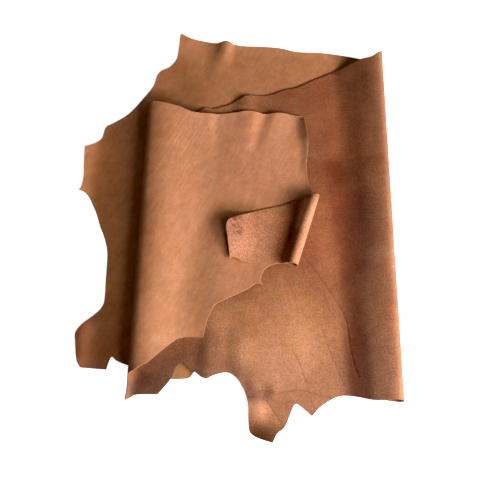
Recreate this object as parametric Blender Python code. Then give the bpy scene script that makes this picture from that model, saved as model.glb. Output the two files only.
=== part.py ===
"""One side of cow leather, 2.2 mm thick, folded in three with one corner turned back.

The side lies on a flat surface, which is z = 0. Its bottom layer rests grain side up, the sheet
turns over at the right fold and comes back flesh side up, turns again at the left fold and runs
right grain side up, and its end is turned back over itself at the flap fold. The origin is under
the middle of the bottom layer, X runs to the right fold and Y to the neck edge.
"""

from collections import namedtuple

import bmesh
import bpy
import numpy as np
from mathutils import Vector

MM = 0.001

THICKNESS = 2.2 * MM
LAYER_RISE = 5.0 * MM  # from the middle of one layer to the middle of the next
EDGE_STEP = 20 * MM  # between the points of the cut edge
ROW = 36 * MM  # between the cuts that run across the folds
FOLD_CELL = 12 * MM  # width of the facets round a fold
LAYER_CELLS = (38 * MM, 32 * MM, 18 * MM, 18 * MM)  # width of the facets of each layer

# Fold sections: the sheet runs flat, then turns through arcs. Each row is an arc's length in
# millimetres and the way the sheet heads at its end, in degrees: 0 outward, 90 up, 180 back.
# The arcs after the crest are stretched until the sheet lands on the layer below.
Arc = namedtuple("Arc", "length heading")
RIGHT_SECTION = (
    Arc(14, 28),
    Arc(16, 68),
    Arc(18, 108),
    Arc(15, 150),
    Arc(6, 180),
    Arc(8, 186),
    Arc(14, 194),
    Arc(30, 199),
    Arc(40, 203),
    Arc(30, 200),
    Arc(20, 194),
    Arc(18, 186),
    Arc(10, 180),
)
LEFT_SECTION = (
    Arc(12, 25),
    Arc(18, 80),
    Arc(24, 112),
    Arc(12, 158),
    Arc(10, 175),
    Arc(10, 180),
    Arc(30, 194),
    Arc(60, 201),
    Arc(60, 196),
    Arc(90, 180),
)
FLAP_SECTION = (
    Arc(9, 35),
    Arc(11, 80),
    Arc(11, 120),
    Arc(9, 155),
    Arc(9, 180),
    Arc(8, 215),
    Arc(10, 240),
    Arc(8, 215),
    Arc(10, 180),
)

# Where the outermost line of each fold lies, seen from above, in millimetres.
NoseLine = namedtuple("NoseLine", "neck_end belly_end")
RIGHT_LINE = NoseLine((463, 666), (428, -468))
LEFT_LINE = NoseLine((-286, 455), (-296, -465))
FLAP_LINE = NoseLine((233, 129), (162, -90))

# The cut edge as it lies, seen from above, in millimetres: once round the side, from the top
# corner along the neck edge. 1 marks a place where the edge turns sharply.
EdgePoint = namedtuple("EdgePoint", "x y sharp", defaults=(0,))
EDGES = (
    ("bottom", "neck edge", (
        (-197, 751, 1), (-160, 733), (-117, 726), (-73, 719), (-47, 722), (-23, 714), (17, 707),
        (73, 705), (133, 699), (189, 684), (258, 680), (307, 674), (362, 663), (425, 651),
    )),
    ("middle", "neck edge", (
        (470, 662), (445, 647), (424, 633), (390, 630), (355, 616), (318, 602), (242, 567),
        (183, 540), (145, 532), (96, 512), (22, 507), (0, 497), (-57, 468), (-86, 457),
        (-105, 461), (-127, 449), (-158, 432), (-205, 421), (-252, 424),
    )),
    ("top", "neck edge", (
        (-286, 452), (-264, 450), (-238, 447), (-188, 443), (-135, 436), (-47, 436), (-13, 439),
        (31, 441), (62, 435), (88, 432), (126, 434), (148, 431), (173, 425), (195, 423, 1),
    )),
    ("top", "rump edge", (
        (201, 406), (205, 373), (209, 326), (204, 272), (201, 230), (205, 189), (217, 162),
    )),
    ("flap", "turned back corner", (
        (240, 130), (168, 123), (147, 113), (118, 103), (73, 93), (29, 80), (-22, 59), (-35, 49),
        (-39, 30), (-36, 8), (-28, -63, 1), (-16, -59), (-2, -66), (14, -73), (34, -74),
        (57, -70), (77, -65), (94, -68), (133, -80), (170, -88),
    )),
    ("top", "hind shank and belly edge", (
        (143, -78), (123, -73), (103, -75), (83, -82), (68, -95), (60, -112), (58, -128),
        (65, -143, 1), (45, -137), (28, -149), (8, -161), (-45, -188), (-70, -203), (-80, -222),
        (-91, -248), (-101, -294, 1), (-136, -294), (-164, -299), (-179, -309), (-202, -330),
        (-242, -370), (-262, -382), (-276, -392), (-297, -410),
    )),
    ("middle", "belly edge", (
        (-302, -468, 1), (-287, -458), (-277, -450), (-216, -449, 1), (-186, -407), (-172, -371),
        (-154, -357, 1), (-121, -385), (-93, -405), (-72, -397), (-40, -389), (-19, -396),
        (8, -429), (21, -474), (23, -526), (28, -547), (56, -565), (82, -575, 1), (95, -549),
        (114, -533), (131, -497), (145, -471), (158, -476), (188, -502, 1), (210, -479),
        (243, -458), (270, -449), (303, -452), (352, -465), (394, -466),
    )),
    ("middle", "corner of the right fold", ((430, -468, 1),)),
    ("bottom", "belly edge", (
        (383, -459), (331, -446), (279, -436), (226, -441), (173, -430), (125, -436), (58, -444),
        (21, -441), (-5, -404), (-32, -374), (-67, -379), (-121, -382), (-134, -398),
        (-147, -402), (-201, -401), (-242, -385), (-302, -366), (-336, -352), (-347, -342),
        (-352, -346), (-361, -377, 1),
    )),
    ("bottom", "fore shank", (
        (-430, -372, 1), (-440, -356), (-450, -300), (-451, -272), (-404, -222), (-391, -209),
        (-381, -187), (-381, -120), (-382, -50), (-386, -19), (-397, 16), (-411, 49), (-423, 85),
        (-438, 118), (-450, 142), (-465, 158),
    )),
    ("bottom", "neck corner", (
        (-482, 163, 1), (-476, 172), (-472, 210), (-475, 264), (-477, 313, 1), (-444, 335),
        (-430, 351), (-420, 392), (-401, 404), (-351, 438), (-310, 491), (-279, 549),
        (-270, 586), (-258, 604), (-230, 619), (-209, 649), (-203, 680),
    )),
)

# How the layers rise and dip once they are folded. A rise follows a path from its neck end to its
# belly end, in millimetres seen from above, and fades out over its reach to the left and to the
# right of that path, as seen with the neck end at the top. Ebb is the share of its height that it
# loses on the way. It lifts the layer named and all that lies on it.
Rise = namedtuple("Rise", "layer path left right lift ebb")
RELIEF = (
    Rise("bottom", ((-495, 340), (-495, 170)), 65, 65, 16, 0),  # margin of the neck corner
    Rise("bottom", ((-428, -260), (-428, -340)), 45, 45, 9, 0),  # middle of the fore shank
    Rise("bottom", ((-215, 765), (-225, 640)), 110, 130, 14, 0.6),  # tip by the neck edge
    Rise("bottom", ((-38, 745), (-60, 590)), 45, 30, 12, 1),  # wrinkle of the neck edge
    Rise("middle", ((320, 400), (280, 40)), 260, 110, 5, 0.2),  # slope down from the right fold
    Rise("middle", ((-80, -330), (-88, -420)), 45, 100, 6, 0),  # fold of the belly
    Rise("middle", ((2, -320), (6, -430)), 48, 120, 6, 0),  # second fold of the belly
    Rise("middle", ((20, -240), (40, -400)), 220, 230, 13, 0),  # swell of the belly
    Rise("middle", ((20, -432), (56, -440)), 34, 40, -7, 0),  # belly edge drooping by the shank
    Rise("middle", ((16, -478), (42, -482)), 46, 34, 12, 0),  # knuckle of the shank
    Rise("middle", ((96, -575), (96, -615)), 85, 60, 33, 0),  # tip of the shank turned up
    Rise("middle", ((-260, -490), (-190, -480)), 110, 110, 26, 0),  # belly edge turned up
    Rise("top", ((-60, -6), (-90, -129), (-116, -246)), 85, 120, 9, 0),  # swell of the rump
    Rise("top", ((-165, 465), (-155, 330)), 60, 60, 9, 1),  # ripples of the neck edge
    Rise("top", ((-94, 436), (-98, 312), (-100, 230)), 70, 40, 6, 1),
    Rise("top", ((48, 442), (13, 311), (-8, 230)), 130, 31, 8, 1),
    Rise("top", ((124, 442), (89, 311), (68, 230)), 180, 38, 10, 1),
    Rise("top", ((200, 432), (211, 326), (203, 235), (219, 165)), 24, 16, 7, 0.6),  # rump edge
    Rise("top", ((225, 125), (215, 90)), 60, 60, 9, 0),  # rump by the turned corner
    Rise("top", ((-258, 60), (-286, -380)), 42, 95, 8, 0),  # left fold standing fuller
    Rise("flap", ((-50, 84), (-42, 36)), 95, 95, 19, 0),  # end of the flap
)


def section(arcs):
    """Where the middle of the sheet runs round a fold: length along it, outward, up, heading."""
    turning = [a.heading for a in arcs].index(180) + 1
    step = 0.5 * MM

    def run(rows, heading):
        lengths = [row.length * MM for row in rows]
        ends = np.concatenate(([0.0], np.cumsum(lengths)))
        headings = np.radians([heading] + [row.heading for row in rows])
        at = np.linspace(0, ends[-1], max(2, round(ends[-1] / step)))
        heads = np.interp(at, ends, headings)
        middle = (heads[1:] + heads[:-1]) / 2
        ahead = np.diff(at)
        out = np.concatenate(([0.0], np.cumsum(ahead * np.cos(middle))))
        up = np.concatenate(([0.0], np.cumsum(ahead * np.sin(middle))))
        return at, out, up, heads

    rise = run(arcs[:turning], 0)
    fall = run(arcs[turning:], 180)
    stretch = (LAYER_RISE - rise[2][-1]) / fall[2][-1]
    return tuple(
        np.concatenate((first, first[-1] * joined + then[1:] * grow))
        for first, then, joined, grow in zip(rise, fall, (1, 1, 1, 0), (stretch,) * 3 + (1,))
    )


class Fold:
    """A straight fold: where it starts in the flat side, and the section that it turns through."""

    def __init__(self, arcs, line, side, earlier):
        self.length, self.out, self.up, self.heading = section(arcs)
        self.side = side  # 1 turns over the grain side, -1 over the flesh side
        self.nose = int(np.argmax(self.out))
        ends = [np.array(end) * MM for end in line]
        for fold in earlier:
            ends = [fold.flattened(end, True) for end in ends]
        neck_end, belly_end = ends
        self.along = (neck_end - belly_end) / np.linalg.norm(neck_end - belly_end)
        self.beyond = np.array((self.along[1], -self.along[0]))
        self.start = belly_end - self.beyond * self.out[self.nose]

    def bent(self, points):
        """The points of the side once this fold has been made."""
        rest = points[:, :2] - self.start
        along, beyond = rest @ self.along, rest @ self.beyond
        within = np.clip(beyond, 0, self.length[-1])
        past = beyond - within
        heading = np.interp(within, self.length, self.heading)
        offset = self.side * points[:, 2]
        out = np.interp(within, self.length, self.out) + past * np.cos(heading)
        up = np.interp(within, self.length, self.up) + past * np.sin(heading)
        out -= offset * np.sin(heading)
        up += offset * np.cos(heading)
        flat = self.start + np.outer(out, self.beyond) + np.outer(along, self.along)
        return np.column_stack((flat, self.side * up))

    def passed(self, places):
        """The share of this fold that lies before each place of the flat side, from 0 to 1."""
        return np.clip((places - self.start) @ self.beyond / self.length[-1], 0, 1)

    def flattened(self, point, turned):
        """Where a point seen from above was before this fold was made."""
        rest = point - self.start
        along, out = rest @ self.along, rest @ self.beyond
        if turned:
            branch = slice(self.nose, None)
            beyond = np.interp(-out, -self.out[branch], self.length[branch])
            beyond += max(0.0, self.out[-1] - out)
        else:
            beyond = np.interp(out, self.out[: self.nose + 1], self.length[: self.nose + 1])
            beyond += min(0.0, out)
        return self.start + self.beyond * beyond + self.along * along


RIGHT = Fold(RIGHT_SECTION, RIGHT_LINE, 1, ())
LEFT = Fold(LEFT_SECTION, LEFT_LINE, -1, (RIGHT,))
FLAP = Fold(FLAP_SECTION, FLAP_LINE, 1, (RIGHT, LEFT))
FOLDS = (RIGHT, LEFT, FLAP)
LAYERS = ("bottom", "middle", "top", "flap")


def laid_flat(layer, x, y):
    """Where a point of a layer, seen from above, lies in the side laid out flat."""
    point = np.array((x, y)) * MM
    depth = LAYERS.index(layer)
    for number, fold in enumerate(FOLDS[: depth + 1]):
        point = fold.flattened(point, number < depth)
    return point


def cut_outline():
    """The cut edge of the flat side: a smooth line through the edge points, sharp where marked."""
    rows = [
        (laid_flat(layer, row.x, row.y), row.sharp)
        for layer, _, points in EDGES
        for row in (EdgePoint(*point) for point in points)
    ]
    outline = []
    count = len(rows)
    for i, (here, sharp) in enumerate(rows):
        before, after, later = rows[i - 1][0], rows[(i + 1) % count][0], rows[(i + 2) % count][0]
        span = np.linalg.norm(after - here)
        leave, arrive = after - before, later - here
        if sharp:
            leave = after - here
        if rows[(i + 1) % count][1]:
            arrive = after - here
        leave, arrive = (span * way / np.linalg.norm(way) for way in (leave, arrive))
        pieces = max(1, round(span / EDGE_STEP))
        for t in np.arange(pieces) / pieces:
            outline.append(
                here * (2 * t**3 - 3 * t**2 + 1)
                + leave * (t**3 - 2 * t**2 + t)
                + after * (3 * t**2 - 2 * t**3)
                + arrive * (t**3 - t**2)
            )
    return outline


def flat_side():
    """The side as one flat face, cut into facets that run along and across the folds."""
    outline = cut_outline()
    bm = bmesh.new()
    bm.faces.new([bm.verts.new((x, y, 0)) for x, y in outline])
    if bm.faces[:][0].normal.z < 0:
        bmesh.ops.reverse_faces(bm, faces=bm.faces)
    low, high = np.min(outline, axis=0), np.max(outline, axis=0)

    def cut(place, normal, faces):
        edges = {edge for face in faces for edge in face.edges}
        verts = {vert for face in faces for vert in face.verts}
        bmesh.ops.bisect_plane(
            bm,
            geom=[*verts, *edges, *faces],
            plane_co=Vector((*place, 0)),
            plane_no=Vector((*normal, 0)),
            dist=1e-6,
        )

    starts = [(np.array((low[0], 0)), np.array((1.0, 0.0)))]
    for fold, cell in zip(FOLDS, LAYER_CELLS):
        turn = fold.length[-1]
        foot = fold.start - fold.along * fold.start[1] / fold.along[1]
        before, facing = starts[-1]
        gap = foot[0] - before[0]
        pieces = round(gap / cell)
        for step in range(1, pieces):
            share = step / pieces
            normal = facing * (1 - share) + fold.beyond * share
            cut(before * (1 - share) + foot * share, normal, bm.faces)
        pieces = round(turn / FOLD_CELL)
        for step in range(pieces + 1):
            cut(foot + fold.beyond * turn * step / pieces, fold.beyond, bm.faces)
        starts.append((foot + fold.beyond * turn, fold.beyond))
    before, facing = starts[-1]
    for step in range(1, round((high[0] - before[0]) / LAYER_CELLS[-1]) + 1):
        cut(before + facing * step * LAYER_CELLS[-1], facing, bm.faces)
    for row in range(1, 2 * round((high[1] - low[1]) / ROW)):
        past = LEFT.start + LEFT.beyond * LEFT.length[-1]
        faces = [
            face
            for face in bm.faces
            if row % 2 == 0 or (np.array(face.calc_center_median())[:2] - past) @ LEFT.beyond > 0
        ]
        cut((0, low[1] + row * ROW / 2), (0, 1), faces)
    bmesh.ops.triangulate(bm, faces=[face for face in bm.faces if len(face.verts) > 4])
    return bm


def nearness(places, path, left, right=None, ebb=0):
    """1 on a path of points, fading to 0 at its reach on either side and past its ends."""
    right = right or left
    lengths = [np.linalg.norm(np.subtract(end, start)) for start, end in zip(path, path[1:])]
    near = np.zeros(len(places))
    for start, end, length, before in zip(path, path[1:], lengths, np.cumsum([0, *lengths])):
        way = np.subtract(end, start) / length
        along = (places - start) @ way
        aside = (places - start) @ (way[1], -way[0])
        held = np.clip(along, 0, length)
        past = 2 * (along - held) / (left + right)
        away = np.hypot(past, aside / np.where(aside > 0, left, right))
        fade = 0.5 + 0.5 * np.cos(np.pi * np.clip(away, 0, 1))
        share = (before + held) / sum(lengths)
        near = np.maximum(near, fade * (1 - ebb * (0.5 - 0.5 * np.cos(np.pi * share))))
    return near


def lift(points, depths):
    """How far each point of the folded side goes up as its layers rise and dip."""
    up = np.zeros(len(points))
    for rise in RELIEF:
        path = [np.array(point) * MM for point in rise.path]
        above = np.clip(depths - LAYERS.index(rise.layer) + 1, 0, 1)
        near = nearness(points[:, :2], path, rise.left * MM, rise.right * MM, rise.ebb)
        up += rise.lift * MM * above * near
    return up


for old in list(bpy.data.objects):
    bpy.data.objects.remove(old)
collection = bpy.data.collections.new("leather hide")
bpy.context.scene.collection.children.link(collection)

bm = flat_side()
grown = bmesh.ops.extrude_face_region(bm, geom=bm.faces[:])
raised = [item for item in grown["geom"] if isinstance(item, bmesh.types.BMVert)]
bmesh.ops.translate(bm, verts=raised, vec=(0, 0, THICKNESS))
bmesh.ops.translate(bm, verts=bm.verts, vec=(0, 0, -THICKNESS / 2))
bmesh.ops.recalc_face_normals(bm, faces=bm.faces)
points = np.array([vert.co for vert in bm.verts])
depths = sum(fold.passed(points[:, :2]) for fold in FOLDS)
middles = points * (1, 1, 0)
for fold in reversed(FOLDS):
    points, middles = fold.bent(points), fold.bent(middles)
points[:, 2] += lift(middles, depths) + THICKNESS / 2
for vert, place in zip(bm.verts, points):
    vert.co = place
mesh = bpy.data.meshes.new("hide")
bm.to_mesh(mesh)
bm.free()
hide = bpy.data.objects.new("hide", mesh)
collection.objects.link(hide)

leather = bpy.data.materials.new("vegetable tanned leather")
leather.use_nodes = True
surface = leather.node_tree.nodes["Principled BSDF"]
surface.inputs["Base Color"].default_value = (0.42, 0.2, 0.1, 1)
surface.inputs["Roughness"].default_value = 0.7
mesh.materials.append(leather)
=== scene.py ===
"""A side of vegetable tanned cow leather, folded in three with one corner turned back."""

import math
from collections import namedtuple

import bmesh
import bpy
import numpy as np
from mathutils import Matrix, Vector, noise


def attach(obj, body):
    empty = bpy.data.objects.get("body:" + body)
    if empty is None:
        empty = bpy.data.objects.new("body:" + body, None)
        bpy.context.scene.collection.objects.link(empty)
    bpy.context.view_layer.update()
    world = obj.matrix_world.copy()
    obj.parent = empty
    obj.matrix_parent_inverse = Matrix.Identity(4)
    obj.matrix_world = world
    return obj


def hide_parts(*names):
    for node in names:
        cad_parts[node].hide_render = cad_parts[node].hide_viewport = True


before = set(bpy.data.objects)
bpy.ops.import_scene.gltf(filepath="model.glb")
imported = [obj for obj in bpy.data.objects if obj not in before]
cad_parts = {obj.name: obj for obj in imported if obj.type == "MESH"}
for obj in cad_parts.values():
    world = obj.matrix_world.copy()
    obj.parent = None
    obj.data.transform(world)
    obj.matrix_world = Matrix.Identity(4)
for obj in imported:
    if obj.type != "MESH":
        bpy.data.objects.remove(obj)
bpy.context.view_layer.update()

# --- The side ---------------------------------------------------------------------------------
# Half of a cow's hide, cut down the back: neck, fore shank, belly, hind shank and rump. It is one
# piece of 2.2 mm vegetable tanned leather, smooth grain on one side and suede flesh on the other,
# trimmed by knife all round. It is cut out flat here, given its thickness, then folded.

MM = 0.001
THICKNESS = 2.2 * MM
SLANT = 0.8 * MM  # how far the slanted cut runs out from the grain side to the flesh side
LAYER_RISE = 5.0 * MM  # from the middle of one layer to the middle of the next
CELL = 7 * MM  # facets of the flat leather
FOLD_CELL = 6 * MM  # facets round a fold
FACET_REACH = 5 * MM  # facets are cut this far past both ends of a crease
SAME_PLACE = 0.6 * MM  # a cut that passes a corner this closely goes through it

# Fold sections: the sheet runs flat, then turns through arcs. Each row is an arc's length in
# millimetres and the way the sheet heads at its end, in degrees: 0 outward, 90 up, 180 back.
# The arcs after the crest are stretched until the sheet lands on the layer below.
Arc = namedtuple("Arc", "length heading")
RIGHT_SECTION = (
    Arc(14, 28),
    Arc(16, 68),
    Arc(18, 108),
    Arc(15, 150),
    Arc(6, 180),
    Arc(8, 186),
    Arc(14, 194),
    Arc(30, 199),
    Arc(40, 203),
    Arc(30, 200),
    Arc(20, 194),
    Arc(18, 186),
    Arc(10, 180),
)
LEFT_SECTION = (
    Arc(12, 25),
    Arc(18, 80),
    Arc(24, 112),
    Arc(12, 158),
    Arc(10, 175),
    Arc(10, 180),
    Arc(30, 194),
    Arc(60, 201),
    Arc(60, 196),
    Arc(90, 180),
)
FLAP_SECTION = (
    Arc(9, 35),
    Arc(11, 80),
    Arc(11, 120),
    Arc(9, 155),
    Arc(9, 180),
    Arc(8, 215),
    Arc(10, 240),
    Arc(8, 215),
    Arc(10, 180),
)

# Where the outermost line of each fold lies, seen from above, in millimetres.
NoseLine = namedtuple("NoseLine", "neck_end belly_end")
RIGHT_LINE = NoseLine((463, 666), (428, -468))
LEFT_LINE = NoseLine((-286, 455), (-296, -465))
FLAP_LINE = NoseLine((233, 129), (162, -90))

# The cut edge as it lies, seen from above, in millimetres: once round the side, from the top
# corner along the neck edge. 1 marks a place where the edge turns sharply.
EdgePoint = namedtuple("EdgePoint", "x y sharp", defaults=(0,))
EDGES = (
    ("bottom", "neck edge", (
        (-197, 751, 1), (-160, 733), (-117, 726), (-73, 719), (-47, 722), (-23, 714), (17, 707),
        (73, 705), (133, 699), (189, 684), (258, 680), (307, 674), (362, 663), (425, 651),
    )),
    ("middle", "neck edge", (
        (470, 662), (445, 647), (424, 633), (390, 630), (355, 616), (318, 602), (242, 567),
        (183, 537), (145, 528), (96, 508), (22, 502), (0, 491), (-30, 473), (-57, 463), (-86, 456),
        (-105, 461), (-127, 449), (-158, 432), (-205, 421), (-252, 424),
    )),
    ("top", "neck edge", (
        (-286, 452), (-264, 450), (-238, 447), (-188, 440), (-150, 428), (-105, 430), (-47, 434),
        (-13, 438),
        (31, 441), (62, 435), (88, 432), (126, 434), (148, 431), (173, 425), (195, 423, 1),
    )),
    ("top", "rump edge", (
        (201, 406), (205, 373), (209, 326), (204, 272), (201, 230), (205, 189), (217, 162),
    )),
    ("flap", "turned back corner", (
        (240, 130), (168, 123), (147, 114), (118, 105), (73, 95), (29, 83), (-20, 62), (-34, 52),
        (-39, 32), (-36, 8), (-28, -63, 1), (-16, -59), (-2, -66), (14, -73), (34, -74),
        (57, -70), (77, -65), (94, -68), (133, -80), (170, -88),
    )),
    ("top", "hind shank and belly edge", (
        (143, -78), (123, -73), (103, -75), (83, -82), (68, -95), (60, -112), (58, -128),
        (65, -143, 1), (45, -137), (28, -149), (8, -161), (-45, -188), (-70, -203), (-80, -222),
        (-91, -248), (-101, -294, 1), (-136, -294), (-164, -299), (-179, -309), (-202, -330),
        (-242, -370), (-262, -382), (-276, -392), (-297, -410),
    )),
    ("middle", "belly edge", (
        (-302, -468, 1), (-287, -458), (-277, -450), (-216, -449, 1), (-186, -407), (-172, -371),
        (-154, -357, 1), (-121, -385), (-93, -405), (-72, -397), (-40, -389), (-19, -396),
        (8, -429), (21, -474), (23, -526), (28, -547), (56, -565), (82, -575, 1), (95, -549),
        (114, -533), (131, -497), (145, -471), (158, -476), (188, -502, 1), (210, -479),
        (243, -458), (270, -449), (303, -452), (352, -465), (394, -466),
    )),
    ("middle", "corner of the right fold", ((430, -468, 1),)),
    ("bottom", "belly edge", (
        (383, -459), (331, -446), (279, -436), (226, -441), (173, -430), (125, -436), (58, -444),
        (21, -441), (-5, -404), (-32, -374), (-67, -379), (-121, -382), (-134, -398),
        (-147, -402), (-201, -401), (-242, -385), (-302, -366), (-336, -352), (-347, -342),
        (-352, -346), (-361, -377, 1),
    )),
    ("bottom", "fore shank", (
        (-430, -372, 1), (-440, -356), (-450, -300), (-451, -272), (-404, -222), (-391, -209),
        (-381, -187), (-381, -120), (-382, -50), (-386, -19), (-397, 16), (-411, 49), (-423, 85),
        (-438, 118), (-450, 142), (-465, 158),
    )),
    ("bottom", "neck corner", (
        (-482, 163, 1), (-476, 172), (-472, 210), (-475, 264), (-477, 313, 1), (-444, 335),
        (-430, 351), (-420, 392), (-401, 404), (-353, 440), (-313, 494), (-279, 549),
        (-270, 586), (-258, 604), (-230, 619), (-209, 649), (-203, 680),
    )),
)

# How the layers rise and dip once they are folded. A rise follows a path from its neck end to its
# belly end, in millimetres seen from above, and fades out over its reach to the left and to the
# right of that path, as seen with the neck end at the top. Ebb is the share of its height that it
# loses on the way. It lifts the layer named and all that lies on it.
Rise = namedtuple("Rise", "layer path left right lift ebb")
RELIEF = (
    Rise("bottom", ((-495, 340), (-495, 170)), 65, 65, 16, 0),  # margin of the neck corner
    Rise("bottom", ((-428, -260), (-428, -340)), 45, 45, 9, 0),  # middle of the fore shank
    Rise("bottom", ((-215, 765), (-225, 640)), 110, 130, 14, 0.6),  # tip by the neck edge
    Rise("bottom", ((-38, 745), (-60, 590)), 45, 30, 12, 1),  # wrinkle of the neck edge
    Rise("middle", ((20, 505), (14, 470)), 45, 45, 6, 0),  # margin of the neck edge
    Rise("middle", ((320, 400), (280, 40)), 260, 110, 5, 0.2),  # slope down from the right fold
    Rise("middle", ((-80, -330), (-88, -420)), 45, 100, 6, 0),  # fold of the belly
    Rise("middle", ((2, -320), (6, -430)), 48, 120, 6, 0),  # second fold of the belly
    Rise("middle", ((20, -240), (40, -400)), 220, 230, 13, 0),  # swell of the belly
    Rise("middle", ((20, -432), (56, -440)), 34, 40, -7, 0),  # belly edge drooping by the shank
    Rise("middle", ((12, -476), (40, -480)), 50, 34, 10, 0),  # knuckle of the shank
    Rise("middle", ((100, -620), (98, -640)), 138, 80, 66, 0),  # tip of the shank turned up
    Rise("middle", ((-260, -490), (-190, -480)), 110, 110, 26, 0),  # belly edge turned up
    Rise("top", ((-60, -6), (-90, -129), (-116, -246)), 85, 120, 9, 0),  # swell of the rump
    Rise("top", ((-165, 465), (-155, 330)), 60, 60, 9, 1),  # ripples of the neck edge
    Rise("top", ((-102, 436), (-104, 312), (-104, 230)), 70, 34, 6, 1),
    Rise("top", ((48, 442), (13, 311), (-8, 230)), 80, 31, 6, 1),
    Rise("top", ((117, 440), (91, 350), (67, 250)), 36, 66, 5, 1),
    Rise("top", ((205, 405), (211, 326), (203, 235), (219, 165)), 24, 16, 6, 0.6),  # rump edge
    Rise("top", ((218, 385), (218, 345)), 42, 42, 6, 0),  # rump corner
    Rise("top", ((225, 125), (215, 90)), 60, 60, 9, 0),  # rump by the turned corner
    Rise("top", ((-258, 60), (-286, -380)), 42, 95, 8, 0),  # left fold standing fuller
    Rise("flap", ((-50, 88), (-38, 0)), 95, 95, 22, 0.5),  # end of the flap
)

# Lines in the surface: creases, dented and darkened, and scratches, a little paler than the rest.
# The darkening of a crease is partly its own colour and partly painted shade in the dent.
# Depth and width are in millimetres; the points are seen from above.
Mark = namedtuple("Mark", "layer kind depth width points")
MARKS = (
    Mark("middle", "crease", 0.9, 7, (  # from the rump to the belly, along the foot of the fold
        (181, -49), (206, -83), (237, -132), (263, -177), (286, -218), (295, -255), (299, -326),
        (307, -367), (315, -402),
    )),
    Mark("middle", "crease", 0.7, 5, (
        (138, -321), (149, -343), (161, -370), (171, -402), (180, -440),
    )),
    Mark("middle", "crease", 0.7, 5, (
        (225, -269), (237, -312), (249, -348), (263, -386), (279, -429),
    )),
    Mark("middle", "crease", 0.8, 6, (
        (21, -456), (39, -451), (68, -464), (93, -500), (108, -526),
    )),
    Mark("middle", "crease", 1.0, 8, (  # where the leather drops off the edge of the layer below
        (39, -440), (62, -436), (94, -447), (124, -440), (148, -434), (172, -437), (206, -447),
        (238, -453),
    )),
    Mark("middle", "crease", 0.3, 5, ((126, -110), (142, -146), (156, -200), (160, -245))),
    Mark("middle", "crease", 0.2, 5, ((61, -234), (120, -230), (190, -233), (277, -231))),
    Mark("middle", "crease", 0.2, 7, ((223, 268), (300, 270), (370, 268), (444, 270))),
    Mark("top", "crease", 0.4, 4, ((-72, -193), (-78, -206), (-76, -222), (-84, -232))),
    Mark("top", "crease", 0.4, 4, ((65, -143), (52, -134), (38, -136))),
    Mark("middle", "scratch", 0.1, 3, (
        (251, -189), (280, -174), (307, -153), (320, -126), (318, -108),
    )),
    Mark("middle", "scratch", 0.1, 3, ((330, -120), (352, -142), (378, -150), (402, -170))),
    Mark("middle", "scratch", 0.1, 2.5, ((300, -232), (340, -212), (380, -206))),
    Mark("middle", "scratch", 0.1, 2.5, ((250, 520), (292, 536), (330, 540))),
    Mark("middle", "scratch", 0.1, 2.5, ((232, 420), (262, 444), (300, 452))),
    Mark("bottom", "scratch", 0.1, 2.5, ((-87, 531), (-82, 500), (-73, 478))),
    Mark("bottom", "scratch", 0.1, 2.5, ((-113, 563), (-80, 545), (-48, 512))),
    Mark("bottom", "scratch", 0.1, 2.5, ((-392, 226), (-372, 219), (-345, 216))),
    Mark("bottom", "scratch", 0.1, 3, ((-70, 718), (-79, 681), (-98, 640), (-136, 592))),
    Mark("top", "scratch", 0.1, 2.5, ((-56, 373), (-20, 350), (15, 301))),
)
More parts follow.
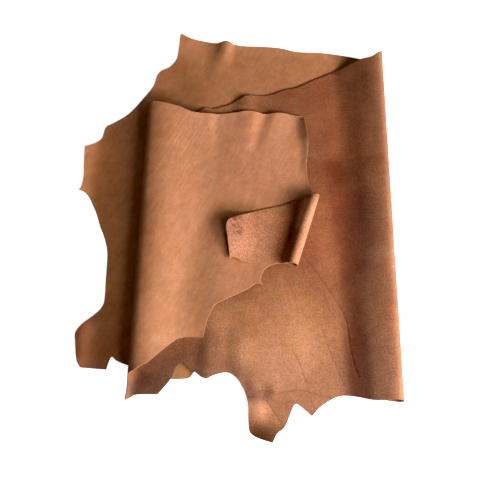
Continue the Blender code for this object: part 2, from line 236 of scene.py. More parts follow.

# Lighter, greyer and redder patches over the layers. Some rows give the leather's own tone, and
# some paint light and shade: painted shadow and shade by folds, edges and valleys, and painted
# light on faces turned to the lamps. Pale goes from -1 at its darkest to 2 at its palest, ashy
# from -1 at its strongest to 1 at its greyest, and ruddy from -1 at its yellowest to 1 at its
# reddest. Each row is a path as in the table above, with its reach to either side.
Tone = namedtuple("Tone", "kind layer path left right amount")
TONES = (
    Tone("pale", "bottom", ((-100, 640), (300, 660)), 400, 400, 0.4),
    Tone("pale", "bottom", ((-20, 700), (280, 670)), 40, 40, 0.8),
    # painted shade in the valley of the wrinkle by the neck edge
    Tone("pale", "bottom", ((-85, 720), (-100, 600)), 34, 34, -1.1),
    # painted shadow that the folded layers cast over the neck
    Tone("pale", "bottom", ((-230, 500), (-160, 500), (-190, 600)), 100, 100, -1.4),
    # painted shadow under the neck edge of the top layer
    Tone("pale", "bottom", ((-180, 450), (-110, 440)), 30, 30, -1.5),
    Tone("pale", "bottom", ((-420, 390), (-330, 450)), 50, 50, 0.7),
    # paler where the left fold's shadow falls: painted light that lifts that shadow
    Tone("pale", "bottom", ((-330, 50), (-345, -250)), 50, 50, 0.5),
    Tone("pale", "bottom", ((-360, 300), (-350, -300)), 160, 160, 0.45),
    # painted shade of the left fold over the fore shank, with the next row
    Tone("pale", "bottom", ((-370, -200), (-380, -350)), 60, 60, -0.9),
    Tone("pale", "bottom", ((-440, -350), (-370, -360)), 60, 60, -1),
    Tone("pale", "bottom", ((-449, 200), (-410, 60), (-405, -80)), 40, 40, -0.5),
    Tone("pale", "bottom", ((-170, -380), (-140, -380)), 60, 60, 0.6),
    # darker up the middle layer: partly its own colour, partly painted shade from the right fold
    Tone("pale", "middle", ((320, 620), (330, 0)), 420, 300, -0.15),
    Tone("pale", "middle", ((280, 262), (430, 262)), 120, 5, -0.35),
    Tone("pale", "middle", ((330, 500), (320, 340)), 60, 60, 0.3),
    # painted shade at the foot of the right fold, with the next row
    Tone("pale", "middle", ((290, 250), (300, -150)), 50, 50, -0.65),
    Tone("pale", "middle", ((345, 130), (345, -80)), 50, 50, -0.6),
    Tone("pale", "middle", ((400, 420), (400, 150)), 40, 40, 0.5),
    Tone("pale", "middle", ((399, 560), (399, 480)), 35, 35, -0.5),
    # painted shade on the slope of the right fold
    Tone("pale", "middle", ((375, 150), (380, -20)), 40, 40, -0.5),
    # painted shade at the foot of the right fold, by the belly
    Tone("pale", "middle", ((320, -200), (325, -480)), 60, 40, -0.9),
    Tone("pale", "middle", ((375, -300), (365, -460)), 30, 30, 0.3),
    Tone("pale", "middle", ((350, -350), (330, -480)), 120, 160, -0.4),
    Tone("pale", "middle", ((395, -60), (385, -200)), 60, 60, 0.4),
    Tone("pale", "middle", ((-290, -430), (-290, -480)), 30, 30, -0.6),
    Tone("pale", "middle", ((400, -420), (385, -450)), 40, 40, -0.5),
    Tone("pale", "middle", ((358, 595), (352, 565)), 32, 32, 0.6),
    Tone("pale", "middle", ((300, 600), (316, 595)), 22, 22, -0.8),
    Tone("pale", "middle", ((-20, -200), (20, -215)), 45, 45, 0.5),
    Tone("pale", "middle", ((240, 80), (240, -60)), 60, 60, 0.4),
    # darker on the belly by the left fold, with the next row: partly its own colour, partly painted
    # shade of its slope
    Tone("pale", "middle", ((-140, -390), (-230, -420)), 80, 60, -0.3),
    Tone("pale", "middle", ((-130, -330), (-260, -390)), 60, 60, -0.8),
    Tone("pale", "middle", ((-60, -330), (60, -320), (150, -320)), 190, 190, 0.7),
    Tone("pale", "middle", ((-70, -220), (-20, -290), (10, -340)), 60, 60, 1.2),
    Tone("pale", "middle", ((150, -200), (180, -290)), 90, 90, 0.45),
    # painted shade where the belly edge droops off the layer below by the shank
    Tone("pale", "middle", ((16, -420), (30, -450)), 30, 30, -1.1),
    # painted light on the face of the shank's knuckle turned to the lamps
    Tone("pale", "middle", ((30, -470), (60, -500)), 50, 50, 0.6),
    # painted shade on the turned-up tip of the shank
    Tone("pale", "middle", ((25, -535), (60, -560)), 45, 45, -0.5),
    Tone("pale", "top", ((-150, 400), (-180, -300)), 900, 900, 0.45),
    # painted shade on the left flank of the left fold
    Tone("pale", "top", ((-250, 430), (-262, -150)), 60, 60, -1.5),
    Tone("pale", "top", ((-200, -120), (-230, -330)), 110, 90, 0.4),
    # paler over the ripples of the neck edge: partly its own tone, partly painted light on their
    # lit faces
    Tone("pale", "top", ((-60, 440), (180, 430)), 110, 110, 1),
    Tone("pale", "top", ((60, 440), (60, 220)), 190, 190, 0.7),
    Tone("pale", "top", ((150, 240), (120, 150)), 150, 120, 0.7),
    # painted shadow of the upper end of the turned corner's roll
    Tone("pale", "top", ((160, 130), (215, 130)), 40, 60, -1.5),
    # painted shadow of the raised end of the turned corner
    Tone("pale", "top", ((-60, 90), (20, 100)), 40, 45, -2),
    Tone("pale", "top", ((-88, -190), (-112, -280)), 50, 60, -0.9),
    # paler over the end of the turned corner: partly its own tone, partly painted light on its
    # raised end
    Tone("pale", "flap", ((-40, 60), (-20, -60)), 130, 130, 1),
    # painted shade in the valley beside the roll of the turned corner
    Tone("pale", "flap", ((158, 110), (140, -70)), 26, 20, -0.9),
    # painted light on the roll of the turned corner, with the next row
    Tone("pale", "flap", ((194, 112), (172, 30)), 16, 16, 1.5),
    Tone("pale", "flap", ((225, 120), (160, -90)), 36, 60, 1.6),
    Tone("pale", "flap", ((90, 60), (50, -60)), 110, 110, 1.4),
    Tone("ashy", "bottom", ((-400, 300), (-370, -200)), 80, 80, -0.15),
    # stronger in colour in the same partly painted shade by the right fold
    Tone("ashy", "middle", ((260, 560), (300, 300), (230, 0)), 200, 110, -0.15),
    Tone("ashy", "middle", ((440, 620), (450, -480)), 40, 60, 0.4),
    Tone("ashy", "middle", ((370, 100), (370, -460)), 80, 110, 0.35),
    Tone("ashy", "middle", ((-150, -420), (400, -440)), 190, 190, 0.35),
    # greyer on the belly by the left fold, in the same partly painted shade
    Tone("ashy", "middle", ((-290, -440), (-180, -420)), 90, 90, 0.4),
    Tone("ashy", "middle", ((-290, -430), (-290, -480)), 30, 30, 0.4),
    # greyer in that painted shade by the shank
    Tone("ashy", "middle", ((16, -420), (30, -450)), 30, 30, 0.3),
    Tone("ashy", "middle", ((462, 640), (432, -450)), 24, 24, 0.4),
    Tone("ashy", "top", ((-150, 400), (-180, -300)), 900, 900, 0.17),
    Tone("ashy", "flap", ((-40, 0), (40, 0)), 90, 90, 0.25),
    Tone("ashy", "flap", ((130, 90), (110, -60)), 35, 35, -0.15),
    Tone("ashy", "flap", ((235, 120), (190, -90)), 60, 60, 0.3),
    # redder in the painted shade on the fore shank
    Tone("ruddy", "bottom", ((-440, -320), (-330, -360)), 110, 110, 0.5),
    # redder in the painted shadow over the neck
    Tone("ruddy", "bottom", ((-270, 480), (-160, 500), (-190, 600)), 110, 110, 0.3),
    Tone("ruddy", "bottom", ((-100, 640), (300, 660)), 400, 400, -0.25),
    Tone("ruddy", "bottom", ((-380, 200), (-360, -200)), 120, 120, -0.25),
    Tone("ruddy", "bottom", ((-170, -380), (-140, -380)), 60, 60, -1.3),
    # redder up the middle layer: partly its own colour, partly painted shade from the right fold
    Tone("ruddy", "middle", ((260, 560), (340, 300), (250, 0)), 300, 160, 0.65),
    Tone("ruddy", "middle", ((440, 600), (440, 200)), 40, 40, 0.5),
    # yellower on the belly by the left fold, in the same partly painted shade
    Tone("ruddy", "middle", ((-290, -440), (-180, -420)), 90, 90, -0.6),
    Tone("ruddy", "top", ((-150, -120), (-200, -330)), 110, 110, -0.45),
    Tone("ruddy", "top", ((130, 420), (150, 300)), 110, 110, -0.25),
    Tone("ruddy", "flap", ((-40, 0), (130, 0)), 130, 130, 0.8),
)


def section(arcs):
    """Where the middle of the sheet runs round a fold: length along it, outward, up, heading."""
    turning = [a.heading for a in arcs].index(180) + 1
    step = 0.5 * MM

    def run(rows, heading):
        lengths = [row.length * MM for row in rows]
        ends = np.concatenate(([0.0], np.cumsum(lengths)))
        headings = np.radians([heading] + [row.heading for row in rows])
        at = np.linspace(0, ends[-1], max(2, round(ends[-1] / step)))
        heads = np.interp(at, ends, headings)
        middle = (heads[1:] + heads[:-1]) / 2
        ahead = np.diff(at)
        out = np.concatenate(([0.0], np.cumsum(ahead * np.cos(middle))))
        up = np.concatenate(([0.0], np.cumsum(ahead * np.sin(middle))))
        return at, out, up, heads

    rise = run(arcs[:turning], 0)
    fall = run(arcs[turning:], 180)
    stretch = (LAYER_RISE - rise[2][-1]) / fall[2][-1]
    return tuple(
        np.concatenate((first, first[-1] * joined + then[1:] * grow))
        for first, then, joined, grow in zip(rise, fall, (1, 1, 1, 0), (stretch,) * 3 + (1,))
    )


class Fold:
    """A straight fold: where it starts in the flat side, and the section that it turns through."""

    def __init__(self, arcs, line, side, earlier):
        self.length, self.out, self.up, self.heading = section(arcs)
        self.side = side  # 1 turns over the grain side, -1 over the flesh side
        self.nose = int(np.argmax(self.out))
        ends = [np.array(end) * MM for end in line]
        for fold in earlier:
            ends = [fold.flattened(end, True) for end in ends]
        neck_end, belly_end = ends
        self.along = (neck_end - belly_end) / np.linalg.norm(neck_end - belly_end)
        self.beyond = np.array((self.along[1], -self.along[0]))
        self.start = belly_end - self.beyond * self.out[self.nose]

    def bent(self, points):
        """The points of the side once this fold has been made."""
        rest = points[:, :2] - self.start
        along, beyond = rest @ self.along, rest @ self.beyond
        within = np.clip(beyond, 0, self.length[-1])
        past = beyond - within
        heading = np.interp(within, self.length, self.heading)
        offset = self.side * points[:, 2]
        out = np.interp(within, self.length, self.out) + past * np.cos(heading)
        up = np.interp(within, self.length, self.up) + past * np.sin(heading)
        out -= offset * np.sin(heading)
        up += offset * np.cos(heading)
        flat = self.start + np.outer(out, self.beyond) + np.outer(along, self.along)
        return np.column_stack((flat, self.side * up))

    def passed(self, places):
        """The share of this fold that lies before each place of the flat side, from 0 to 1."""
        return np.clip((places - self.start) @ self.beyond / self.length[-1], 0, 1)

    def flattened(self, point, turned):
        """Where a point seen from above was before this fold was made."""
        rest = point - self.start
        along, out = rest @ self.along, rest @ self.beyond
        if turned:
            branch = slice(self.nose, None)
            beyond = np.interp(-out, -self.out[branch], self.length[branch])
            beyond += max(0.0, self.out[-1] - out)
        else:
            beyond = np.interp(out, self.out[: self.nose + 1], self.length[: self.nose + 1])
            beyond += min(0.0, out)
        return self.start + self.beyond * beyond + self.along * along


RIGHT = Fold(RIGHT_SECTION, RIGHT_LINE, 1, ())
LEFT = Fold(LEFT_SECTION, LEFT_LINE, -1, (RIGHT,))
FLAP = Fold(FLAP_SECTION, FLAP_LINE, 1, (RIGHT, LEFT))
FOLDS = (RIGHT, LEFT, FLAP)
LAYERS = ("bottom", "middle", "top", "flap")


def laid_flat(layer, x, y):
    """Where a point of a layer, seen from above, lies in the side laid out flat."""
    point = np.array((x, y)) * MM
    depth = LAYERS.index(layer)
    for number, fold in enumerate(FOLDS[: depth + 1]):
        point = fold.flattened(point, number < depth)
    return point


def cut_outline():
    """The cut edge of the flat side: a smooth line through the edge points, sharp where marked."""
    rows = [
        (laid_flat(layer, row.x, row.y), row.sharp)
        for layer, _, points in EDGES
        for row in (EdgePoint(*point) for point in points)
    ]
    outline = []
    count = len(rows)
    for i, (here, sharp) in enumerate(rows):
        before, after, later = rows[i - 1][0], rows[(i + 1) % count][0], rows[(i + 2) % count][0]
        span = np.linalg.norm(after - here)
        leave, arrive = after - before, later - here
        if sharp:
            leave = after - here
        if rows[(i + 1) % count][1]:
            arrive = after - here
        leave, arrive = (span * way / np.linalg.norm(way) for way in (leave, arrive))
        pieces = max(1, round(span / CELL))
        for t in np.arange(pieces) / pieces:
            outline.append(
                here * (2 * t**3 - 3 * t**2 + 1)
                + leave * (t**3 - 2 * t**2 + t)
                + after * (3 * t**2 - 2 * t**3)
                + arrive * (t**3 - t**2)
            )
    return outline


def flat_side():
    """The side cut out flat, with facets that run along and across the folds and creases."""
    outline = cut_outline()
    bm = bmesh.new()
    bm.faces.new([bm.verts.new((x, y, 0)) for x, y in outline])
    if bm.faces[:][0].normal.z < 0:
        bmesh.ops.reverse_faces(bm, faces=bm.faces)
    low, high = np.min(outline, axis=0), np.max(outline, axis=0)

    def cut(place, normal, geom=None):
        return bmesh.ops.bisect_plane(
            bm,
            geom=geom or bm.verts[:] + bm.edges[:] + bm.faces[:],
            plane_co=Vector((*place, 0)),
            plane_no=Vector((*normal, 0)),
            dist=SAME_PLACE,
        )["geom"]

    before, facing = np.array((low[0], 0)), np.array((1.0, 0.0))
    for fold in FOLDS:
        turn = fold.length[-1]
        foot = fold.start - fold.along * fold.start[1] / fold.along[1]
        pieces = round((foot[0] - before[0]) / CELL)
        for step in range(1, pieces):
            share = step / pieces
            normal = facing * (1 - share) + fold.beyond * share
            cut(before * (1 - share) + foot * share, normal)
        pieces = round(turn / FOLD_CELL)
        for step in range(pieces + 1):
            cut(foot + fold.beyond * turn * step / pieces, fold.beyond)
        before, facing = foot + fold.beyond * turn, fold.beyond
    for step in range(1, round((high[0] - before[0]) / CELL) + 1):
        cut(before + facing * step * CELL, facing)
    rows = round((high[1] - low[1]) / CELL)
    for row in range(1, rows):
        cut((0, low[1] + (high[1] - low[1]) * row / rows), (0, 1))
    for mark in MARKS:
        points = [laid_flat(mark.layer, *point) for point in mark.points]
        for start, end in zip(points, points[1:]):
            middle, way = (start + end) / 2, end - start
            length = np.linalg.norm(way)
            aside = np.array((way[1], -way[0])) / length
            reach = length / 2 + FACET_REACH
            near = [
                face
                for face in bm.faces
                if (face.verts[0].co.xy - Vector(middle)).length_squared < reach**2
            ]
            edges = {edge for face in near for edge in face.edges}
            verts = {vert for face in near for vert in face.verts}
            near = [*verts, *edges, *near]
            for shift in (0, -mark.width * MM / 2, mark.width * MM / 2):
                near = cut(middle + aside * shift, aside, near)
    bmesh.ops.triangulate(bm, faces=[face for face in bm.faces if len(face.verts) > 4])
    return bm


def nearness(places, path, left, right=None, ebb=0):
    """1 on a path of points, fading to 0 at its reach on either side and past its ends."""
    right = right or left
    lengths = [np.linalg.norm(np.subtract(end, start)) for start, end in zip(path, path[1:])]
    near = np.zeros(len(places))
    for start, end, length, before in zip(path, path[1:], lengths, np.cumsum([0, *lengths])):
        way = np.subtract(end, start) / length
        along = (places - start) @ way
        aside = (places - start) @ (way[1], -way[0])
        held = np.clip(along, 0, length)
        past = 2 * (along - held) / (left + right)
        away = np.hypot(past, aside / np.where(aside > 0, left, right))
        fade = 0.5 + 0.5 * np.cos(np.pi * np.clip(away, 0, 1))
        share = (before + held) / sum(lengths)
        near = np.maximum(near, fade * (1 - ebb * (0.5 - 0.5 * np.cos(np.pi * share))))
    return near


def lift(points, depths):
    """How far each point of the folded side goes up as its layers rise and dip."""
    up = np.zeros(len(points))
    for rise in RELIEF:
        path = [np.array(point) * MM for point in rise.path]
        above = np.clip(depths - LAYERS.index(rise.layer) + 1, 0, 1)
        near = nearness(points[:, :2], path, rise.left * MM, rise.right * MM, rise.ebb)
        up += rise.lift * MM * above * near
    return up


WIDE_WAVE, FINE_WAVE = 130 * MM, 35 * MM  # spacing of the slow and of the small unevenness


def slack(places):
    """How far the flat leather stands out of true, as tanned leather does: never below 0."""
    wide = [noise.fractal((x / WIDE_WAVE, y / WIDE_WAVE, 0), 1, 2, 3) for x, y in places]
    fine = [noise.fractal((x / FINE_WAVE, y / FINE_WAVE, 7), 1, 2, 2) for x, y in places]
    return np.clip(0.5 + 0.55 * np.array(wide) + 0.12 * np.array(fine), 0, 1.1) * MM


bm = flat_side()
flat_area = sum(face.calc_area() for face in bm.faces)
grown = bmesh.ops.extrude_face_region(bm, geom=bm.faces[:])
raised = [item for item in grown["geom"] if isinstance(item, bmesh.types.BMVert)]
bmesh.ops.translate(bm, verts=raised, vec=(0, 0, THICKNESS))
bmesh.ops.translate(bm, verts=bm.verts, vec=(0, 0, -THICKNESS / 2))
bmesh.ops.recalc_face_normals(bm, faces=bm.faces)
GRAIN, FLESH, CUT = 0, 1, 2
for face in bm.faces:
    face.material_index = GRAIN if face.normal.z > 0.5 else FLESH if face.normal.z < -0.5 else CUT
    face.smooth = face.material_index != CUT
    if face.material_index == CUT:
        for edge in face.edges:
            edge.smooth = False
for vert in bm.verts:
    cuts = [face.normal for face in vert.link_faces if face.material_index == CUT]
    if cuts and vert.co.z < 0:
        vert.co += SLANT * sum(cuts, Vector()).normalized()

flat = np.array([vert.co for vert in bm.verts])
places = flat[:, :2]
depths = sum(fold.passed(places) for fold in FOLDS)

marked = {"crease": np.zeros(len(flat)), "scratch": np.zeros(len(flat))}
dent = np.zeros(len(flat))
for mark in MARKS:
    points = [laid_flat(mark.layer, *point) for point in mark.points]
    near = nearness(places, points, mark.width * MM / 2)
    marked[mark.kind] = np.maximum(marked[mark.kind], near * (0.4 + 0.6 * min(1, mark.depth)))
    dent = np.maximum(dent, near * mark.depth)

flat[:, 2] += slack(places) + dent * MM
folded = flat.copy()
middles = flat * (1, 1, 0)
for fold in reversed(FOLDS):
    folded, middles = fold.bent(folded), fold.bent(middles)
folded[:, 2] += lift(middles, depths) + THICKNESS / 2


def laid_on(layer, path, left, right):
    """1 on a path on one layer, seen from above, fading to 0 at its reach and on other layers."""
    path = [np.array(point) * MM for point in path]
    within = np.clip(1.5 - 1.5 * abs(depths - LAYERS.index(layer)), 0, 1)
    return within * nearness(middles[:, :2], path, left * MM, right * MM)


# The tones, painted light and shade among them, and the marks go to the materials as attributes.
toned = {"pale": 0, "ashy": 0, "ruddy": 0}
for tone in TONES:
    toned[tone.kind] += tone.amount * laid_on(tone.layer, tone.path, tone.left, tone.right)
painted = {
    **toned,
    "creased": marked["crease"],
    "scratched": marked["scratch"],
    "wrinkled": laid_on("top", ((-160, 400), (-210, 230)), 90, 120),
    "napped": laid_on("flap", ((-60, 0), (240, 0)), 300, 300),
    "stained": laid_on("flap", ((-12, 66), (-8, 24)), 30, 28),
}
# The growth wrinkles run from the fold up towards the neck: their direction in the flat side.
wrinkle = laid_flat("top", -106, 285) - laid_flat("top", -150, 190)
WRINKLE_TURN = math.pi / 2 - math.atan2(wrinkle[1], wrinkle[0])

uv = bm.loops.layers.uv.new("flat side")
layers = {name: bm.verts.layers.float.new(name) for name in painted}
for i, vert in enumerate(bm.verts):
    for name, values in painted.items():
        vert[layers[name]] = values[i]
    for loop in vert.link_loops:
        loop[uv].uv = places[i]
for vert, place in zip(bm.verts, folded):
    vert.co = place
mesh = bpy.data.meshes.new("side")
bm.to_mesh(mesh)
bm.free()
side = bpy.data.objects.new("side", mesh)
bpy.context.scene.collection.objects.link(side)


def linear(code):
    """A hex sRGB colour as linear red, green, blue and alpha."""
    parts = [int(code[i : i + 2], 16) / 255 for i in (1, 3, 5)]
    return [c / 12.92 if c <= 0.04045 else ((c + 0.055) / 1.055) ** 2.4 for c in parts] + [1]


def add(tree, kind, inputs, output=0, **settings):
    """Adds a node with its inputs, by name or number, and settings; gives one of its outputs."""
    node = tree.nodes.new(kind)
    for name, value in settings.items():
        setattr(node, name, value)
    for name, value in inputs.items():
        if isinstance(value, bpy.types.NodeSocket):
            tree.links.new(value, node.inputs[name])
        else:
            node.inputs[name].default_value = value
    return node.outputs[output]


def finish_named(name):
    """A new material with a tree that holds a Principled shader."""
    made = bpy.data.materials.new(name)
    made.use_nodes = True
    tree = made.node_tree
    return made, tree, tree.nodes["Principled BSDF"]


def noise_scale(size):
    """The scale of a noise texture whose spots are so many millimetres across."""
    return 0.6 / (size * MM)


# Grain side: the hair side of the skin, tanned with bark and left undyed. It is smooth with a low
# sheen, clouded and mottled in tan, with fine pale growth wrinkles near the neck. The pores are
# drawn at 2 mm, ten times as coarse as real, so that they show.
grain, tree, shader = finish_named("vegetable tanned grain")
at = add(tree, "ShaderNodeUVMap", {}, uv_map="flat side")
pale, ashy, ruddy, wrinkled, creased, scratched = (
    add(tree, "ShaderNodeAttribute", {}, "Fac", attribute_name=name)
    for name in ("pale", "ashy", "ruddy", "wrinkled", "creased", "scratched")
)
turned = add(tree, "ShaderNodeMapping", {"Vector": at, "Rotation": (0, 0, WRINKLE_TURN)})
stretched = add(tree, "ShaderNodeMapping", {"Vector": turned, "Scale": (1, 0.22, 1)})
cloud, bloom, mottle, grit, streaked = (
    add(tree, "ShaderNodeTexNoise", {
        "Vector": where, "Scale": noise_scale(size), "Detail": detail, "Roughness": roughness,
    })
    for where, size, detail, roughness in (
        (at, 110, 4, 0.55),
        (at, 45, 4, 0.6),
        (at, 16, 6, 0.65),
        (at, 3, 2, 0.6),
        (stretched, 7, 4, 0.6),
    )
)
# The pale, ashy and ruddy attributes bring in the tone table, painted light and shade included.
tone = add(tree, "ShaderNodeMapRange", {"Value": cloud, 1: 0.3, 2: 0.7, 3: -0.3, 4: 0.3})
tone = add(tree, "ShaderNodeMath", {0: tone, 1: pale})
tone = add(tree, "ShaderNodeMapRange", {"Value": tone, 1: -1, 2: 2})
colour = add(
    tree, "ShaderNodeMix", {0: tone, 6: linear("#935F3B"), 7: linear("#C3805B")}, 2,
    data_type="RGBA",
)
bloom = add(tree, "ShaderNodeMapRange", {"Value": bloom, 1: 0.3, 2: 0.7, 3: -0.15, 4: 0.15})
ashy = add(tree, "ShaderNodeMath", {0: bloom, 1: ashy})
depth = add(tree, "ShaderNodeMapRange", {"Value": ashy, 1: -1, 2: 1, 3: 1.2, 4: 0.8})
shade = add(tree, "ShaderNodeMapRange", {"Value": ruddy, 1: -1, 2: 1, 3: 0.51, 4: 0.49})
colour = add(
    tree, "ShaderNodeHueSaturation", {"Color": colour, "Hue": shade, "Saturation": depth}
)
# The growth wrinkles are broken up where the streaks are weak. They are drawn 13 mm apart, coarser
# than real, so that they show.
lines = add(tree, "ShaderNodeTexWave", {
    "Vector": turned, "Scale": 0.32 / (13 * MM), "Distortion": 5, "Detail": 3, "Detail Scale": 1.2,
}, "Fac")
lines = add(tree, "ShaderNodeMapRange", {"Value": lines, 1: 0.72, 2: 1, 3: 0, 4: wrinkled})
breaks = add(tree, "ShaderNodeMapRange", {"Value": streaked, 1: 0.35, 2: 0.6})
lines = add(tree, "ShaderNodeMath", {0: lines, 1: breaks}, operation="MULTIPLY")
# Creases are darkened, partly in their own colour and partly as painted shade in the dent.
breaks = add(tree, "ShaderNodeMapRange", {"Value": grit, 1: 0.3, 2: 0.6, 3: 0.3, 4: 1})
creases = add(tree, "ShaderNodeMath", {0: creased, 1: breaks}, operation="MULTIPLY")
light = 1
for value, low, high, least, most in (
    (mottle, 0.3, 0.7, 0.88, 1.12),
    (grit, 0.3, 0.7, 0.9, 1.1),
    (streaked, 0.3, 0.7, 0.9, 1.1),
    (lines, 0, 1, 1, 1.1),
    (scratched, 0, 1, 1, 1.2),
    (creases, 0, 1, 1, 0.68),
):
    share = add(tree, "ShaderNodeMapRange", {"Value": value, 1: low, 2: high, 3: least, 4: most})
    light = add(tree, "ShaderNodeMath", {0: light, 1: share}, operation="MULTIPLY")
colour = add(tree, "ShaderNodeVectorMath", {0: colour, "Scale": light}, operation="SCALE")
tree.links.new(colour, shader.inputs["Base Color"])
pores = add(tree, "ShaderNodeTexVoronoi", {"Vector": at, "Scale": 1 / (2 * MM)})
height = 0
for value, share in ((pores, 0.12), (streaked, 0.5), (mottle, 0.35), (lines, 0.5)):
    height = add(tree, "ShaderNodeMath", {0: value, 1: share, 2: height}, operation="MULTIPLY_ADD")
bump = add(tree, "ShaderNodeBump", {"Height": height, "Distance": 1.2 * MM, "Strength": 0.7})
tree.links.new(bump, shader.inputs["Normal"])
sheen = add(tree, "ShaderNodeMapRange", {"Value": mottle, 1: 0.3, 2: 0.7, 3: 0.6, 4: 0.48})
tree.links.new(sheen, shader.inputs["Roughness"])
shader.inputs["Specular IOR Level"].default_value = 0.2

# Flesh side: the fibres of the inner side, split and buffed to a short nap. It is matt and redder
# than the grain, and speckled where the nap lies over or stands up. The fibres are drawn at 3 mm,
# ten times as coarse as real, so that they show.
flesh, tree, shader = finish_named("buffed flesh suede")
at = add(tree, "ShaderNodeUVMap", {}, uv_map="flat side")
pale, ashy, ruddy, napped, stained, creased, scratched = (
    add(tree, "ShaderNodeAttribute", {}, "Fac", attribute_name=name)
    for name in ("pale", "ashy", "ruddy", "napped", "stained", "creased", "scratched")
)
cloud, bloom, mottle, patches, nap = (
    add(tree, "ShaderNodeTexNoise", {
        "Vector": at, "Scale": noise_scale(size), "Detail": detail, "Roughness": roughness,
    })
    for size, detail, roughness in (
        (90, 4, 0.55), (50, 4, 0.6), (13, 6, 0.7), (9, 4, 0.75), (3, 2, 0.6),
    )
)
# The pale, ashy and ruddy attributes bring in the tone table, painted light and shade included.
tone = add(tree, "ShaderNodeMapRange", {"Value": cloud, 1: 0.3, 2: 0.7, 3: -0.35, 4: 0.35})
tone = add(tree, "ShaderNodeMath", {0: tone, 1: pale})
tone = add(tree, "ShaderNodeMapRange", {"Value": tone, 1: -1, 2: 1.5})
colour = add(
    tree, "ShaderNodeMix", {0: tone, 6: linear("#6E3D27"), 7: linear("#B17751")}, 2,
    data_type="RGBA",
)
bloom = add(tree, "ShaderNodeMapRange", {"Value": bloom, 1: 0.3, 2: 0.7, 3: -0.15, 4: 0.15})
ashy = add(tree, "ShaderNodeMath", {0: bloom, 1: ashy})
depth = add(tree, "ShaderNodeMapRange", {"Value": ashy, 1: -1, 2: 1, 3: 1.2, 4: 0.8})
shade = add(tree, "ShaderNodeMapRange", {"Value": ruddy, 1: -1, 2: 1, 3: 0.51, 4: 0.49})
colour = add(
    tree, "ShaderNodeHueSaturation", {"Color": colour, "Hue": shade, "Saturation": depth}
)
# The stain by the end of the corner is patchy.
patches = add(tree, "ShaderNodeMapRange", {"Value": patches, 1: 0.42, 2: 0.56, 3: 0, 4: stained})
colour = add(
    tree, "ShaderNodeMix", {0: patches, 6: colour, 7: linear("#58281F")}, 2, data_type="RGBA"
)
# Creases are darkened, partly in their own colour and partly as painted shade in the dent.
breaks = add(tree, "ShaderNodeMapRange", {"Value": nap, 1: 0.3, 2: 0.6, 3: 0.2, 4: 1})
creases = add(tree, "ShaderNodeMath", {0: creased, 1: breaks}, operation="MULTIPLY")
contrast = add(tree, "ShaderNodeMapRange", {"Value": napped, 3: 0.26, 4: 0.4})
speckle = add(tree, "ShaderNodeMapRange", {"Value": nap, 1: 0.3, 2: 0.7, 3: -1, 4: 1})
light = add(tree, "ShaderNodeMath", {0: speckle, 1: contrast, 2: 1}, operation="MULTIPLY_ADD")
for value, low, high, least, most in (
    (mottle, 0.3, 0.7, 0.85, 1.15),
    (scratched, 0, 1, 1, 1.25),
    (creases, 0, 1, 1, 0.68),
):
    share = add(tree, "ShaderNodeMapRange", {"Value": value, 1: low, 2: high, 3: least, 4: most})
    light = add(tree, "ShaderNodeMath", {0: light, 1: share}, operation="MULTIPLY")
colour = add(tree, "ShaderNodeVectorMath", {0: colour, "Scale": light}, operation="SCALE")
tree.links.new(colour, shader.inputs["Base Color"])
height = add(tree, "ShaderNodeMath", {0: nap, 1: mottle})
bump = add(tree, "ShaderNodeBump", {"Height": height, "Distance": 0.75 * MM, "Strength": 0.7})
tree.links.new(bump, shader.inputs["Normal"])
shader.inputs["Roughness"].default_value = 0.9
shader.inputs["Specular IOR Level"].default_value = 0.15

# Cut edge: the raw core of the leather, a dull buff with the fibre showing.
edge, tree, shader = finish_named("raw cut leather edge")
at = add(tree, "ShaderNodeTexCoord", {}, "Object")
fibre = add(tree, "ShaderNodeTexNoise", {"Vector": at, "Scale": noise_scale(3), "Detail": 3})
colour = add(
    tree, "ShaderNodeMix", {0: fibre, 6: linear("#885939"), 7: linear("#B07F5A")}, 2,
    data_type="RGBA",
)
tree.links.new(colour, shader.inputs["Base Color"])
shader.inputs["Roughness"].default_value = 0.85
shader.inputs["Specular IOR Level"].default_value = 0.2

for made in (grain, flesh, edge):
    mesh.materials.append(made)

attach(side, "root")
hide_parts("hide")

# --- Studio -----------------------------------------------------------------------------------
# A plain white floor, soft light from low at the lower right with weak fill all round, and the
# camera above the belly edge, looking down.

FLOOR_REACH = 12  # metres from the middle to each side
FLOOR_DROP = 0.5 * MM  # keeps the floor clear of the leather
floor_bm = bmesh.new()
bmesh.ops.create_grid(floor_bm, x_segments=1, y_segments=1, size=FLOOR_REACH)
bmesh.ops.translate(floor_bm, verts=floor_bm.verts, vec=(0, 0, -FLOOR_DROP))
floor_mesh = bpy.data.meshes.new("floor")
floor_bm.to_mesh(floor_mesh)
floor_bm.free()
floor = bpy.data.objects.new("floor", floor_mesh)
bpy.context.scene.collection.objects.link(floor)
white, tree, shader = finish_named("white studio floor")
shader.inputs["Base Color"].default_value = linear("#F2F2F2")
shader.inputs["Roughness"].default_value = 0.9
shader.inputs["Emission Color"].default_value = (1, 1, 1, 1)
shader.inputs["Emission Strength"].default_value = 0.9
floor_mesh.materials.append(white)
floor.visible_diffuse = False
floor.visible_glossy = False

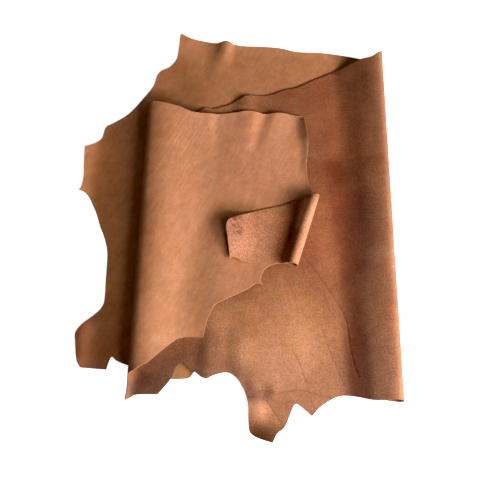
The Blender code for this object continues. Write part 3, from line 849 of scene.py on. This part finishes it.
# Each row is a lamp's direction from the leather in degrees, its distance in metres, or 0 for one
# so far off that its light is even, its strength, and how wide it looks in degrees.
Lamp = namedtuple("Lamp", "azimuth elevation distance strength width")
LAMPS = (
    Lamp(-30, 20, 1.9, 0.70, 15),  # a long softbox
    Lamp(-15, 20, 1.9, 0.46, 15),
    Lamp(0, 20, 1.9, 0.50, 15),
    Lamp(-45, 30, 0.9, 0.20, 15),
    Lamp(-60, 27, 0, 0.57, 16),
    Lamp(-45, 20, 0, 0.28, 14),
    Lamp(-26, 14, 0, 0.38, 14),
    Lamp(90, 30, 0, 0.08, 30),  # weak fill
    Lamp(180, 30, 0, 0.12, 30),
)
for number, lamp in enumerate(LAMPS):
    tilt, turn = math.radians(90 - lamp.elevation), math.radians(lamp.azimuth + 90)
    light = bpy.data.lights.new(f"lamp_{number}", "POINT" if lamp.distance else "SUN")
    holder = bpy.data.objects.new(light.name, light)
    bpy.context.scene.collection.objects.link(holder)
    if lamp.distance:
        light.energy = 4 * math.pi**2 * lamp.distance**2 * lamp.strength
        light.shadow_soft_size = lamp.distance * math.tan(math.radians(lamp.width / 2))
        holder.location = Matrix.Rotation(turn, 3, "Z") @ Vector(
            (0, -lamp.distance * math.sin(tilt), lamp.distance * math.cos(tilt))
        )
    else:
        light.energy = math.pi * lamp.strength
        light.angle = math.radians(lamp.width)
        holder.rotation_euler = (tilt, 0, turn)

world = bpy.data.worlds.new("studio")
world.use_nodes = True
tree = world.node_tree
backdrop = tree.nodes["Background"]
backdrop.inputs["Color"].default_value = (1, 1, 1, 1)
seen = add(tree, "ShaderNodeLightPath", {}, "Is Camera Ray")
tree.links.new(seen, backdrop.inputs["Strength"])
bpy.context.scene.world = world

# The camera looks down at 66 degrees from beyond the belly edge.
VIEW_ELEVATION = math.radians(66)
VIEW_DISTANCE = 2.03
TARGET = Vector((0, 0, 0.01))
camera = bpy.data.cameras.new("camera")
camera.lens = 52.5
camera.sensor_width = 36
viewer = bpy.data.objects.new("camera", camera)
viewer.location = TARGET + VIEW_DISTANCE * Vector(
    (0, -math.cos(VIEW_ELEVATION), math.sin(VIEW_ELEVATION))
)
viewer.rotation_euler = (math.pi / 2 - VIEW_ELEVATION, 0, 0)
bpy.context.scene.collection.objects.link(viewer)
bpy.context.scene.camera = viewer
shown = bpy.context.scene.view_settings
shown.view_transform = "Standard"
shown.use_curve_mapping = True
shown.curve_mapping.black_level = (0.01, 0.01, 0.01)
shown.curve_mapping.update()
